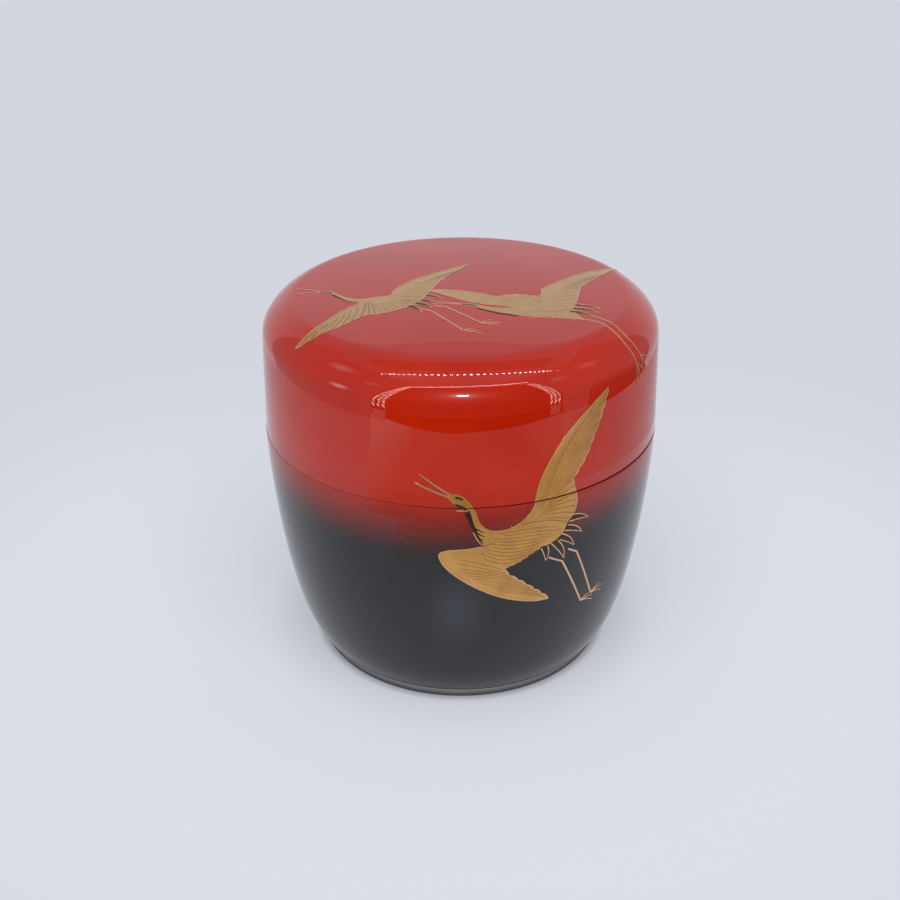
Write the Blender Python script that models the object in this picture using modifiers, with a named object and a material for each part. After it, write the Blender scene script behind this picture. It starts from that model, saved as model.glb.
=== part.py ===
"""Lacquer tea caddy: a turned wooden caddy with a lid that lifts off.

Both pieces are turned on one axis and lacquered:
  body  foot ring, bellied wall, hollow well and the thin rim that guides the lid
  lid   a shell with a shallow dome, a round shoulder and a side that flares to its mouth

Units are metres, +Z is up, and the origin is on the standing surface, on the turning axis.
"""
import math

import bpy
from mathutils import Vector

MM = 0.001

# The whole caddy.
CADDY_HEIGHT = 64.0 * MM
BELLY_RADIUS = 33.0 * MM
PARTING_HEIGHT = 41.1 * MM

# How closely the lid meets the body.
PARTING_GAP = 0.3 * MM
RIM_CLEARANCE = 0.3 * MM
LID_SET_IN = 0.1 * MM

# The lid's outer form, from its mouth in and up to the dome.
LID_TAPER = 0.5 * MM
SHOULDER_WIDTH = 5.6 * MM
SHOULDER_DROP = 6.5 * MM
DOME_RISE = 0.9 * MM
LID_WALL = 1.5 * MM
LID_MOUTH_RADIUS = BELLY_RADIUS - LID_SET_IN
LID_SHOULDER_RADIUS = LID_MOUTH_RADIUS - LID_TAPER
DOME_RADIUS = LID_SHOULDER_RADIUS - SHOULDER_WIDTH
LID_MOUTH_HEIGHT = PARTING_HEIGHT + PARTING_GAP
LID_SHOULDER_HEIGHT = CADDY_HEIGHT - SHOULDER_DROP

# The body's outer form.
WALL_CURVE_ANGLE = math.radians(49)
FOOT_RADIUS = 25.2 * MM
FOOT_HEIGHT = 1.3 * MM
FOOT_RING_WIDTH = 2.2 * MM
BASE_RECESS = 0.8 * MM

# The body's hollow and its rim.
BODY_WALL = 2.4 * MM
FLOOR_THICKNESS = 2.4 * MM
RIM_RISE = 7.0 * MM
RIM_WALL = 1.2 * MM

# Edges that the lacquer leaves soft, and the rounding where the well meets its floor.
SOFT_EDGE = 0.25 * MM
FLOOR_ROUNDING = 0.5 * MM

# How far each end of a curve pulls along its own direction before it turns.
SHOULDER_REACH_TOP = 1.7 * MM
SHOULDER_REACH_SIDE = 3.1 * MM
BELLY_REACH = 6.9 * MM
FOOT_REACH = 7.7 * MM

# Facets: steps round the axis, and points along each curve.
TURNING_STEPS = 72
DOME_POINTS = 4
SHOULDER_POINTS = 7
WALL_POINTS = 12
CREASE_ANGLE = math.radians(30)
MERGE_DISTANCE = 0.01 * MM

COLLECTION = "lacquer_tea_caddy"

VERMILION = (0.45, 0.030, 0.018, 1.0)
BLACK = (0.012, 0.012, 0.014, 1.0)
POLISHED = 0.08


def clear_scene():
    """Start from an empty scene."""
    for thing in list(bpy.data.objects):
        bpy.data.objects.remove(thing, do_unlink=True)


def make_collection(name):
    """The collection that holds the caddy's pieces."""
    collection = bpy.data.collections.new(name)
    bpy.context.scene.collection.children.link(collection)
    return collection


def lacquer(name, colour):
    """Polished lacquer: a clear, hard gloss over one pigment."""
    material = bpy.data.materials.new(name)
    material.use_nodes = True
    shader = material.node_tree.nodes["Principled BSDF"]
    shader.inputs["Base Color"].default_value = colour
    shader.inputs["Roughness"].default_value = POLISHED
    shader.inputs["Metallic"].default_value = 0.0
    material.diffuse_color = colour
    return material


def curve(start, start_pull, end_pull, end, points):
    """Points (radius, height) on a cubic curve between two places.

    start_pull and end_pull are the vectors by which the curve leaves start and arrives at end.
    """
    control = (start, start + start_pull, end - end_pull, end)
    found = []
    for step in range(points + 1):
        t = step / points
        s = 1.0 - t
        weights = (s * s * s, 3 * s * s * t, 3 * s * t * t, t * t * t)
        place = Vector((0.0, 0.0))
        for weight, corner in zip(weights, control):
            place += weight * corner
        found.append(place)
    return found


def offset_inward(points, wall):
    """Move each point of an outer wall, listed downwards, into the wood by the wall's thickness."""
    moved = []
    for index, place in enumerate(points):
        before = points[max(index - 1, 0)]
        after = points[min(index + 1, len(points) - 1)]
        along = (after - before).normalized()
        inward = Vector((along.y, -along.x))
        moved.append(place + inward * wall)
    return moved


def lid_side_radius(height):
    """The lid's outer radius on its straight side, at a height above the foot."""
    share = (height - LID_MOUTH_HEIGHT) / (LID_SHOULDER_HEIGHT - LID_MOUTH_HEIGHT)
    return LID_MOUTH_RADIUS + (LID_SHOULDER_RADIUS - LID_MOUTH_RADIUS) * share


def rim_outer_radius():
    """The rim clears the inside of the lid at the narrowest place that it passes."""
    narrowest = min(LID_MOUTH_RADIUS, lid_side_radius(PARTING_HEIGHT + RIM_RISE))
    return narrowest - LID_WALL - RIM_CLEARANCE


def lid_profile():
    """The lid's outer line, from the middle of the dome down to the mouth."""
    dome = []
    for step in range(DOME_POINTS + 1):
        share = step / DOME_POINTS
        dome.append(Vector((DOME_RADIUS * share, CADDY_HEIGHT - DOME_RISE * share * share)))

    dome_slope = Vector((DOME_RADIUS, -2 * DOME_RISE)).normalized()
    shoulder = Vector((LID_SHOULDER_RADIUS, LID_SHOULDER_HEIGHT))
    mouth = Vector((LID_MOUTH_RADIUS, LID_MOUTH_HEIGHT))
    side_slope = (mouth - shoulder).normalized()
    round_shoulder = curve(
        dome[-1],
        dome_slope * SHOULDER_REACH_TOP,
        side_slope * SHOULDER_REACH_SIDE,
        shoulder,
        SHOULDER_POINTS,
    )
    return dome + round_shoulder[1:] + [(shoulder + mouth) / 2, mouth]


def body_wall():
    """The body's outer line, from the parting line down to the top of the foot ring."""
    top = Vector((BELLY_RADIUS, PARTING_HEIGHT - SOFT_EDGE))
    bottom = Vector((FOOT_RADIUS, FOOT_HEIGHT))
    straight_down = Vector((0.0, -1.0))
    tucked_in = Vector((-math.sin(WALL_CURVE_ANGLE), -math.cos(WALL_CURVE_ANGLE)))
    return curve(top, straight_down * BELLY_REACH, tucked_in * FOOT_REACH, bottom, WALL_POINTS)


def body_profile():
    """The body's whole section, from the middle of its inside floor out, over and under."""
    floor = BASE_RECESS + FLOOR_THICKNESS
    rim_top = PARTING_HEIGHT + RIM_RISE
    rim_outer = rim_outer_radius()
    rim_inner = rim_outer - RIM_WALL
    ring_inner = FOOT_RADIUS - FOOT_RING_WIDTH
    wall = body_wall()

    well = []
    for place in reversed(offset_inward(wall, BODY_WALL)):
        if place.y > floor + FLOOR_ROUNDING / 2:
            well.append(Vector((min(place.x, rim_inner), place.y)))
    floor_edge = Vector((well[0].x - FLOOR_ROUNDING, floor))

    rim = [
        Vector((rim_inner, rim_top - SOFT_EDGE)),
        Vector((rim_inner + SOFT_EDGE, rim_top)),
        Vector((rim_outer - SOFT_EDGE, rim_top)),
        Vector((rim_outer, rim_top - SOFT_EDGE)),
        Vector((rim_outer, PARTING_HEIGHT)),
        Vector((BELLY_RADIUS - SOFT_EDGE, PARTING_HEIGHT)),
    ]
    foot = [
        Vector((FOOT_RADIUS, SOFT_EDGE)),
        Vector((FOOT_RADIUS - SOFT_EDGE, 0.0)),
        Vector((ring_inner, 0.0)),
        Vector((ring_inner - SOFT_EDGE, BASE_RECESS)),
        Vector((0.0, BASE_RECESS)),
    ]
    return [Vector((0.0, floor)), floor_edge] + well + rim + wall + foot


def turn(name, profile, material, collection, wall=None):
    """Turn a profile round the vertical axis, and give an open one its wall on the inside."""
    mesh = bpy.data.meshes.new(name + "_profile")
    places = [(place.x, 0.0, place.y) for place in profile]
    edges = [(index, index + 1) for index in range(len(places) - 1)]
    mesh.from_pydata(places, edges, [])
    blank = bpy.data.objects.new(name + "_blank", mesh)
    collection.objects.link(blank)

    lathe = blank.modifiers.new("lathe", "SCREW")
    lathe.axis = "Z"
    lathe.angle = math.tau
    lathe.steps = TURNING_STEPS
    lathe.render_steps = TURNING_STEPS
    lathe.use_merge_vertices = True
    lathe.merge_threshold = MERGE_DISTANCE

    if wall is not None:
        hollow = blank.modifiers.new("wall", "SOLIDIFY")
        hollow.thickness = wall
        hollow.offset = -1.0
        hollow.use_even_offset = True
        hollow.use_rim = True

    bpy.context.view_layer.update()
    evaluated = blank.evaluated_get(bpy.context.evaluated_depsgraph_get())
    turned = bpy.data.meshes.new_from_object(evaluated)
    turned.name = name
    turned.shade_smooth()
    turned.set_sharp_from_angle(angle=CREASE_ANGLE)
    turned.materials.clear()
    turned.materials.append(material)

    piece = bpy.data.objects.new(name, turned)
    collection.objects.link(piece)
    bpy.data.objects.remove(blank, do_unlink=True)
    bpy.data.meshes.remove(mesh)
    return piece


def main():
    """Turn the two pieces and stand the lid where it rests on the body."""
    clear_scene()
    collection = make_collection(COLLECTION)
    turn("body", body_profile(), lacquer("black_lacquer", BLACK), collection)
    turn("lid", lid_profile(), lacquer("vermilion_lacquer", VERMILION), collection, LID_WALL)


main()
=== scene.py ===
# %% [markdown]
# # A lacquered tea caddy
# This small round box for powdered tea is two thin shells of turned wood under many coats of lacquer.
# The lid is vermilion, the body fades from vermilion into black, and cranes in gold powder fly over both.
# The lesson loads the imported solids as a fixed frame, turns finer shells in their place, paints them,
# and lays the gold on them as real films a few hundredths of a millimetre thick.

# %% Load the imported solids
import math

import bmesh
import bpy
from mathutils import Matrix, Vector


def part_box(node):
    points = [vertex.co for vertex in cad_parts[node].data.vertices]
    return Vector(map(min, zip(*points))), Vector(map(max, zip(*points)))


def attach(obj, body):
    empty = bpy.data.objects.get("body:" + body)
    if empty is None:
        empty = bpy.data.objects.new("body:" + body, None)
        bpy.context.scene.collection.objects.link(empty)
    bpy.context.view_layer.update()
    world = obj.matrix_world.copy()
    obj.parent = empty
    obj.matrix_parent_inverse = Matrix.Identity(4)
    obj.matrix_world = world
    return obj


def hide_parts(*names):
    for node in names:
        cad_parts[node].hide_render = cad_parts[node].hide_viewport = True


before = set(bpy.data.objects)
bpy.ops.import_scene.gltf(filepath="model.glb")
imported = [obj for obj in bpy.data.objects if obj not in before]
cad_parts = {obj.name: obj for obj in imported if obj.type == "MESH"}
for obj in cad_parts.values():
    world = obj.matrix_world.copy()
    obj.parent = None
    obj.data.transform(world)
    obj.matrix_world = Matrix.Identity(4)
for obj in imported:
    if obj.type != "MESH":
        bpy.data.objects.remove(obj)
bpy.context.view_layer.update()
print("packed pieces:", sorted(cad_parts))

# %% [markdown]
# ## Sizes
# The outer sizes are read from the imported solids, so the looks can't drift away from them. What a box
# doesn't tell, such as the swing of the wall, is repeated here from the solids' own drawing.
# Drawings are in millimetres, and a place is turned into metres when its mesh is made.
# A lid hardly ever sits quite level. This one touches the body at the left and stands open by a hair at
# the right: its tilt is how much it rises for each millimetre to the right, and to the back.

# %% Sizes in millimetres
MM = 0.001
body_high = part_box("body")[1]
lid_low, lid_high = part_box("lid")

HEIGHT = lid_high.z / MM
BELLY_RADIUS = body_high.x / MM
RIM_TOP = body_high.z / MM
PACKED_GAP = 0.3
PARTING = lid_low.z / MM - PACKED_GAP
MOUTH_WIDER_BY = 0.07
LID_MOUTH_RADIUS = lid_high.x / MM + MOUTH_WIDER_BY

LID_TAPER = 0.5
SHOULDER_WIDTH = 5.6
SHOULDER_DROP = 6.5
DOME_RISE = 0.9
LID_WALL = 1.5
SHOULDER_REACH_TOP = 1.7
SHOULDER_REACH_SIDE = 3.1

FOOT_RADIUS = 25.2
FOOT_HEIGHT = 1.3
FOOT_RING_WIDTH = 2.2
BASE_RECESS = 0.8
WALL_CURVE_ANGLE = math.radians(49)
BELLY_REACH = 6.9
FOOT_REACH = 7.7

BODY_WALL = 2.4
FLOOR_THICKNESS = 2.4
RIM_WALL = 1.2
RIM_CLEARANCE = 0.3
SOFT_EDGE = 0.25
SEAM_EDGE = 0.02

SEAM = 0.205
LID_TILT = (0.00525, 0.00303, 0.0)
LEVEL = (0.0, 0.0, 0.0)
LID_MOUTH = PARTING + SEAM
LID_SHOULDER = HEIGHT - SHOULDER_DROP
print("caddy %.1f mm high, %.1f mm across, parting at %.1f mm" % (HEIGHT, 2 * BELLY_RADIUS, PARTING))

# %% [markdown]
# ## Small helpers
# One helper adds a node to any tree, whatever its kind: it sets the node's own settings and has its
# inputs filled, each with a value or with a link from another node. Colours are written as the sRGB hex
# codes that a paint chart gives, and one function turns them into the linear light that Blender mixes.

# %% Helpers for nodes
def fill(tree, node, inputs):
    """Fill a node's inputs, in their order or by name. A node stands for its first output in use."""
    for name, value in inputs.items() if isinstance(inputs, dict) else enumerate(inputs):
        if isinstance(value, bpy.types.Node):
            value = next(socket for socket in value.outputs if socket.enabled)
        if isinstance(value, bpy.types.NodeSocket):
            tree.links.new(value, node.inputs[name])
        else:
            node.inputs[name].default_value = value


def add_node(tree, kind, inputs=(), **settings):
    """Add a node of any kind, apply its settings and fill its inputs."""
    node = tree.nodes.new(kind)
    for name, value in settings.items():
        setattr(node, name, value)
    fill(tree, node, inputs)
    return node


def new_finish(name):
    """A material with its tree and its shader."""
    material = bpy.data.materials.new(name)
    material.use_nodes = True
    return material, material.node_tree, material.node_tree.nodes["Principled BSDF"]


# %% Helpers for colours and meshes
def colour(code):
    """An sRGB hex code as linear red, green, blue and alpha."""
    linear = []
    for place in (1, 3, 5):
        level = int(code[place:place + 2], 16) / 255
        linear.append(level / 12.92 if level <= 0.04045 else ((level + 0.055) / 1.055) ** 2.4)
    return (*linear, 1.0)


def new_object(name, data):
    """A new object at the origin for a mesh, a lamp or a camera."""
    made = bpy.data.objects.new(name, data)
    bpy.context.scene.collection.objects.link(made)
    return made


def mesh_object(name, places, edges, faces):
    """A new object from places in millimetres."""
    mesh = bpy.data.meshes.new(name)
    mesh.from_pydata([Vector(place) * MM for place in places], edges, faces)
    return new_object(name, mesh)


print("the grey #808080 is %.3f in linear light" % colour("#808080")[0])

# %% [markdown]
# ## The camera
# The picture was taken from a little above, close to the caddy. A fit of the outline and of the parting
# line gives how high the camera looks down from, how far away it is and how long its lens is. The caddy
# stands a little right of the middle of the picture, which a small shift of the lens does.

# %% Camera
CAMERA_ELEVATION = math.radians(27.57)
CAMERA_DISTANCE = 220.0
CAMERA_AIM_HEIGHT = 33.66
FOCAL_LENGTH = 50.63
SENSOR_WIDTH = 36.0
PICTURE_WIDTH_PX = 900
CADDY_RIGHT_OF_MIDDLE_PX = 10.5
NEAREST_SEEN = 5.0

camera = new_object("camera", bpy.data.cameras.new("camera"))
camera.location = Vector((
    0.0,
    -CAMERA_DISTANCE * math.cos(CAMERA_ELEVATION),
    CAMERA_AIM_HEIGHT + CAMERA_DISTANCE * math.sin(CAMERA_ELEVATION),
)) * MM
camera.rotation_euler = (math.pi / 2 - CAMERA_ELEVATION, 0.0, 0.0)
camera.data.lens = FOCAL_LENGTH
camera.data.sensor_width = SENSOR_WIDTH
camera.data.shift_x = -CADDY_RIGHT_OF_MIDDLE_PX / PICTURE_WIDTH_PX
camera.data.clip_start = NEAREST_SEEN * MM
bpy.context.scene.camera = camera
print("camera at", [round(value, 4) for value in camera.location])

# %% [markdown]
# ## Floor and daylight
# The caddy stands on a sheet of pale, matt acrylic. The sheet glows a little by itself, and that glow is
# painted light and shade: a painted pool of light round the caddy, a painted falloff further out, and a
# painted contact shadow where the glow is turned down right at the foot. The rest of its light comes
# from one very soft lamp, high in front, and from the even glow of the tent all round.

# %% Floor
FLOOR_SIZE = 3000.0
FLOOR_PAINT = colour("#BBBBBF")
FLOOR_GLOW = colour("#AEB2B9")
FLOOR_GLOW_STRENGTH = 0.66
# Each change: between two distances from the axis, the glow goes from one share to another. The
# first is a painted shadow at the foot, the second a painted pool of light, the third a painted falloff.
PAINTED_GLOW_AND_SHADOW = ((25.2, 26.8, 0.35, 1.0), (28.0, 38.0, 1.0, 1.17), (60.0, 150.0, 1.0, 0.78))

half = FLOOR_SIZE / 2
corners = [(-half, -half, 0), (half, -half, 0), (half, half, 0), (-half, half, 0)]
floor = mesh_object("pale_floor", corners, [], [(0, 1, 2, 3)])

# Acrylic sanded matt scatters all that falls on it, so the eye gets a pale ground with no mirror image
# in it. Its glow is painted light: brighter round the caddy, dimmer further out, dark right at the foot.
floor_finish, tree, shader = new_finish("matt acrylic, lit from below")
on_sheet = add_node(tree, "ShaderNodeTexCoord").outputs["Object"]
from_caddy = add_node(tree, "ShaderNodeVectorMath", [on_sheet], operation="LENGTH")
glow = FLOOR_GLOW_STRENGTH
# Painted light and shade: the glow's strength changes with the distance from the caddy's axis.
for near, far, near_share, far_share in PAINTED_GLOW_AND_SHADOW:
    change = [from_caddy, near * MM, far * MM, near_share, far_share]
    share = add_node(tree, "ShaderNodeMapRange", change, interpolation_type="SMOOTHSTEP")
    glow = add_node(tree, "ShaderNodeMath", [glow, share], operation="MULTIPLY")
shader.inputs["Base Color"].default_value = FLOOR_PAINT
shader.inputs["Roughness"].default_value = 1.0
shader.inputs["Specular IOR Level"].default_value = 0.0
shader.inputs["Emission Color"].default_value = FLOOR_GLOW
fill(tree, shader, {"Emission Strength": glow})
floor.data.materials.append(floor_finish)
print("floor finish:", floor_finish.name)

# %% Soft lamp and the glow of the tent
BACKDROP = colour("#D3D7E0")
TENT_GLOW = colour("#BCC2CC")
TENT_GLOW_STRENGTH = 0.62
TENT_IN_GLOSS_STRENGTH = 0.92
LAMP_STRENGTH = 1.9
LAMP_SOFTNESS = math.radians(70)
LAMP_TILT = math.radians(38)

scene = bpy.context.scene
scene.view_settings.view_transform = "Standard"

lamp = new_object("soft_lamp", bpy.data.lights.new("soft_lamp", "SUN"))
lamp.data.energy = LAMP_STRENGTH
lamp.data.angle = LAMP_SOFTNESS
lamp.rotation_euler = (LAMP_TILT, 0.0, 0.0)
lamp.visible_glossy = False

world = bpy.data.worlds.new("tent")
world.use_nodes = True
scene.world = world
sky = world.node_tree
sky.nodes.clear()
ray = add_node(sky, "ShaderNodeLightPath").outputs
seen = add_node(sky, "ShaderNodeBackground", [TENT_GLOW, TENT_GLOW_STRENGTH])
for kind_of_ray, paint, strength in (
    ("Is Glossy Ray", TENT_GLOW, TENT_IN_GLOSS_STRENGTH),
    ("Is Camera Ray", BACKDROP, 1.0),
):
    other = add_node(sky, "ShaderNodeBackground", [paint, strength])
    seen = add_node(sky, "ShaderNodeMixShader", [ray[kind_of_ray], seen, other])
add_node(sky, "ShaderNodeOutputWorld", [seen])
print("one soft lamp, and a tent that glows on the caddy, in its gloss and behind it")

# %% [markdown]
# ## What the gloss mirrors
# Polished lacquer is a dark mirror, so half of its look is the room in it. The tent has a bright back
# wall and dimmer side walls, and soft sheens lie on the walls and on the floor. Its front is open and
# dark, and bars of small lamps frame that opening: three up each side, leaning inwards, with a low strip
# at their feet, and one along its top. A last bar hangs over the caddy, and a small window is in front.
# These cards are seen only by the gloss. They light nothing and throw no shadow. A card may fade from one
# tone to another along one axis or out from a place, as light falls off along a wall or round a lamp.

# %% A glow that only the gloss sees
HALO_REACH = 28.0
HALO_FALL = 1.6
UNSEEN_BY = ("camera", "diffuse", "transmission", "volume_scatter", "shadow")
WALL_WHITE = colour("#E6EAF2")
FLOOR_WHITE = colour("#F0EDE8")
COOL_WHITE = colour("#CCD8FF")
WARM_WHITE = colour("#F0E0D0")
PURE_WHITE = colour("#FFFFFF")
LAMP_WHITE = colour("#FFF0EA")
LAMP_PINK = colour("#FFDCD8")


def only_in_gloss(card, paint, strength, fade=None, halo=None, soft=False):
    """Make an object glow for mirror rays alone.

    fade is an axis, or a place that the change runs out from; then the two distances in millimetres
    where the change starts and ends, and the strength that it ends at. halo is a place that the glow
    falls away from on all sides. A soft card adds its glow to what lies behind it.
    """
    material, tree, _ = new_finish(card.name)
    tree.nodes.clear()
    place = add_node(tree, "ShaderNodeTexCoord").outputs["Object"]
    centre = halo or (fade[0] if fade and fade[0] not in ("X", "Y", "Z") else None)
    if centre:
        along = add_node(tree, "ShaderNodeVectorMath", [place, Vector(centre) * MM], operation="DISTANCE")
    elif fade:
        along = add_node(tree, "ShaderNodeSeparateXYZ", [place]).outputs[fade[0]]
    bright = strength
    if halo:
        share = add_node(tree, "ShaderNodeMath", [along, HALO_REACH * MM], operation="DIVIDE")
        bright = add_node(tree, "ShaderNodeMath", [share, -HALO_FALL], operation="POWER")
    elif fade:
        change = [along, fade[1] * MM, fade[2] * MM, strength, fade[3]]
        kind = "SMOOTHSTEP" if centre else "LINEAR"
        bright = add_node(tree, "ShaderNodeMapRange", change, interpolation_type=kind)
    seen = add_node(tree, "ShaderNodeEmission", [paint, bright])
    if soft:
        seen = add_node(tree, "ShaderNodeAddShader", [add_node(tree, "ShaderNodeBsdfTransparent"), seen])
    add_node(tree, "ShaderNodeOutputMaterial", [seen])
    card.data.materials.append(material)
    for kind_of_ray in UNSEEN_BY:
        setattr(card, "visible_" + kind_of_ray, False)
    print("in the gloss:", card.name, len(card.data.polygons), "faces")


# %% Shapes of the cards
CARD_STEP = 6.0
CORNERS = ((-1, -1), (1, -1), (1, 1), (-1, 1))


def card_between(name, low_edge, high_edge):
    """A card whose faces join two rows of places."""
    places = [place for pair in zip(low_edge, high_edge) for place in pair]
    faces = [(2 * step, 2 * step + 2, 2 * step + 3, 2 * step + 1) for step in range(len(low_edge) - 1)]
    return mesh_object(name, places, [], faces)


def arc(start, end, radius, end_radius, height, steps):
    """Places round the caddy from one compass angle to another; 0 degrees is the front."""
    places = []
    for step in range(steps + 1):
        angle = math.radians(start + (end - start) * step / steps)
        reach = radius + (end_radius - radius) * step / steps
        places.append((reach * math.sin(angle), -reach * math.cos(angle), height))
    return places


def wall_card(
    name, start, end, radius, bottom, top, paint, strength, top_strength=None, lean=(0, 0), halo=None,
):
    """An upright card between two compass angles. lean moves the ends of its top edge, in degrees."""
    steps = math.ceil(abs(end - start) / CARD_STEP)
    low_edge = arc(start, end, radius, radius, bottom, steps)
    high_edge = arc(start + lean[0], end + lean[1], radius, radius, top, steps)
    fade = None if top_strength is None else ("Z", bottom, top, top_strength)
    only_in_gloss(card_between(name, low_edge, high_edge), paint, strength, fade, halo)


def floor_card(name, start, end, near, far, far_at_end, paint, strength, fade=None, height=0.2):
    """A level card shaped like a slice of a ring, whose far edge may run out or in along the way."""
    steps = math.ceil(abs(end - start) / CARD_STEP)
    near_edge = arc(start, end, near, near, height, steps)
    far_edge = arc(start, end, far, far_at_end, height, steps)
    only_in_gloss(card_between(name, near_edge, far_edge), paint, strength, fade)


def ceiling_card(name, left, right, front, back, height, paint, strength):
    """A level, four-sided card under the ceiling."""
    near_edge = [(left, front, height), (right, front, height)]
    far_edge = [(left, back, height), (right, back, height)]
    only_in_gloss(card_between(name, near_edge, far_edge), paint, strength)


def square(centre, reach, along):
    """The corners of a square or slanted card. along are the two directions that it is spread in."""
    return [Vector(centre) + (a * Vector(along[0]) + b * Vector(along[1])) * reach for a, b in CORNERS]


def soft_patch(name, centre, reach, along, paint, strength):
    """A round, soft glow on a wall or on the floor."""
    card = mesh_object(name, square(centre, reach, along), [], [(0, 1, 2, 3)])
    only_in_gloss(card, paint, strength, (centre, 0, reach, 0.0), soft=True)


def lamp_bars(name, bars, lamps, lamp_size, along, paint, strength):
    """Straight bars of small lamps, each bar from one place to another."""
    places = []
    for first_end, last_end in bars:
        for number in range(lamps):
            centre = Vector(first_end).lerp(Vector(last_end), number / (lamps - 1))
            places += square(centre, lamp_size / 2, along)
    faces = [tuple(range(first, first + 4)) for first in range(0, len(places), 4)]
    only_in_gloss(mesh_object(name, places, [], faces), paint, strength)


print("a card a quarter of the way round has", math.ceil(90 / CARD_STEP), "faces")

# %% The walls and the ceiling
wall_card(
    "open_front", -45.5, 53, 172, 0.3, 208, FLOOR_WHITE, 1.0, lean=(12.5, -12), halo=(1.0, -172.0, 122.0),
)
wall_card("left_wall", -118, -45.5, 158, 0.3, 250, WALL_WHITE, 0.55, 0.42, lean=(0, 15.5))
wall_card("right_front_wall", 53, 68, 159, 0.3, 250, WALL_WHITE, 0.42, 0.50, lean=(-15, 0))
wall_card("right_wall_low", 68, 118, 153, 0.3, 58, WALL_WHITE, 0.06, 0.50)
wall_card("right_wall", 68, 118, 153, 58, 250, WALL_WHITE, 0.50, 0.40)
wall_card("back_wall", 118, 242, 153, 0.3, 162, WALL_WHITE, 0.98, 0.78)
for name, spot, reach, strength in (
    ("left_low_sheen", (-132, -71, 61), 20, 4.2),
    ("left_high_sheen", (-143, -34, 175), 34, 1.4),
    ("left_front_sheen", (-110, -101, 137), 18, 0.9),
    ("right_high_sheen", (148, -24, 166), 26, 0.9),
    ("right_front_sheen", (121, -86, 149), 20, 0.9),
):
    along_wall = Vector((-spot[1], spot[0], 0)).normalized()
    soft_patch(name, spot, reach, (along_wall, (0, 0, 1)), WALL_WHITE, strength)
ceiling_card("ceiling_middle", -110, 110, -42, 28, 252, WARM_WHITE, 0.42)
ceiling_card("ceiling_front", -130, 150, -130, -80, 252, WALL_WHITE, 0.80)

# %% The floor, which is darkest just inside the open front
floor_card("floor_outside", -45.5, 53, 146, 174, 174, colour("#000000"), 0.0, height=0.1)
floor_card("floor_front_left", -45.5, -24, 88, 166, 156, FLOOR_WHITE, 1.35, ("X", -105, -50, 0.47))
floor_card("floor_front_middle", -24, -5, 88, 156, 151, FLOOR_WHITE, 0.47)
floor_card("floor_front_centre", -5, 30, 88, 151, 156, FLOOR_WHITE, 0.47)
floor_card("floor_front_right", 30, 53, 88, 156, 161, FLOOR_WHITE, 0.47, ("X", 70, 130, 0.75))
floor_card("floor_near_front", -30, 34, 66, 88, 88, FLOOR_WHITE, 0.80, ("Y", -66, -86, 0.47))
floor_card("floor_right", 60, 150, 95, 157, 157, WALL_WHITE, 0.66)
soft_patch("floor_sheen", (-1.6, -50, 0.25), 16, ((1, 0, 0), (0, 1, 0)), COOL_WHITE, 0.54)

# %% The lamps and the small window
BAR_RADIUS = 156
BAR_FOOT = 9.5
DEEP = ((1, 0, 0), (0, 1.3, 0))
DEEPER = ((1, 0, 0), (0, 3.4, 0))
UPRIGHT = ((1.25, 0, 0), (0, 0, 0.25))
lamp_bars("lamp_bar_over_caddy", [((-128, -77, 250), (163, -63.5, 250))], 34, 3.5, DEEP, LAMP_WHITE, 46.0)
lamp_bars("lamp_bar_over_opening", [((-77, -135, 171), (99, -121, 188))], 43, 1.5, DEEPER, LAMP_WHITE, 36.0)
for side, outer_foot, foot_step, outer_head, head_step, top in (
    ("left", -43.9, 2.75, -31.2, 1.0, 165),
    ("right", 50.3, -2.2, 40.6, -1.3, 168),
):
    bars = []
    for number in range(3):
        foot = outer_foot + number * foot_step
        head = outer_head + number * head_step
        ends = ((foot, BAR_FOOT), (head, top))
        bars.append([arc(angle, angle, BAR_RADIUS, BAR_RADIUS, height, 1)[0] for angle, height in ends])
    lamp_bars("lamp_bars_" + side, bars, 72, 4.0, UPRIGHT, LAMP_PINK, 12.0)
wall_card("bar_feet_left", -44.5, -37.5, 156.5, 1.5, 7.0, LAMP_PINK, 0.9)
wall_card("bar_feet_right", 45.2, 51.0, 156.5, 2.5, 7.5, LAMP_PINK, 0.7)
wall_card("small_window", -1.8, 3.6, 146, 106, 115, PURE_WHITE, 36.0)

# %% [markdown]
# ## The lines of the two shells
# A turned shape is one line drawn from the axis outwards. The dome is a shallow bowl, and the round
# shoulder and the bellied wall are single cubic curves, each with a pull at both ends, just as a
# turner judges a curve by how it leaves one edge and meets the next. A spline through many measured
# places could follow the outline too, but it would ripple, and polished lacquer shows every ripple.

# %% Curves, soft corners and walls
EDGE_POINTS = 4
CORNER_PULL = 2 / 3
IN = Vector((-1.0, 0.0))
OUT = Vector((1.0, 0.0))
UP = Vector((0.0, 1.0))
DOWN = Vector((0.0, -1.0))


def curve(start, start_pull, end_pull, end, points):
    """Points on a cubic curve that leaves start along one pull and meets end along the other."""
    control = (start, start + start_pull, end - end_pull, end)
    found = []
    for step in range(points + 1):
        t = step / points
        s = 1.0 - t
        weights = (s * s * s, 3 * s * s * t, 3 * s * t * t, t * t * t)
        place = Vector((0.0, 0.0))
        for weight, corner in zip(weights, control):
            place += weight * corner
        found.append(place)
    return found


def soft_corner(corner, size, arriving, leaving):
    """A rounded corner of a line that arrives in one direction and leaves in another."""
    before = corner - arriving * size
    after = corner + leaving * size
    return curve(before, (corner - before) * CORNER_PULL, (after - corner) * CORNER_PULL, after, EDGE_POINTS)


def offset_inward(points, wall):
    """Move each point of an outer line into the wood by the wall's thickness."""
    moved = []
    for index, place in enumerate(points):
        before = points[max(index - 1, 0)]
        after = points[min(index + 1, len(points) - 1)]
        along = (after - before).normalized()
        moved.append(place + Vector((along.y, -along.x)) * wall)
    return moved


print("a soft corner has", len(soft_corner(Vector((0.0, 0.0)), SOFT_EDGE, UP, OUT)), "points")

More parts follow.
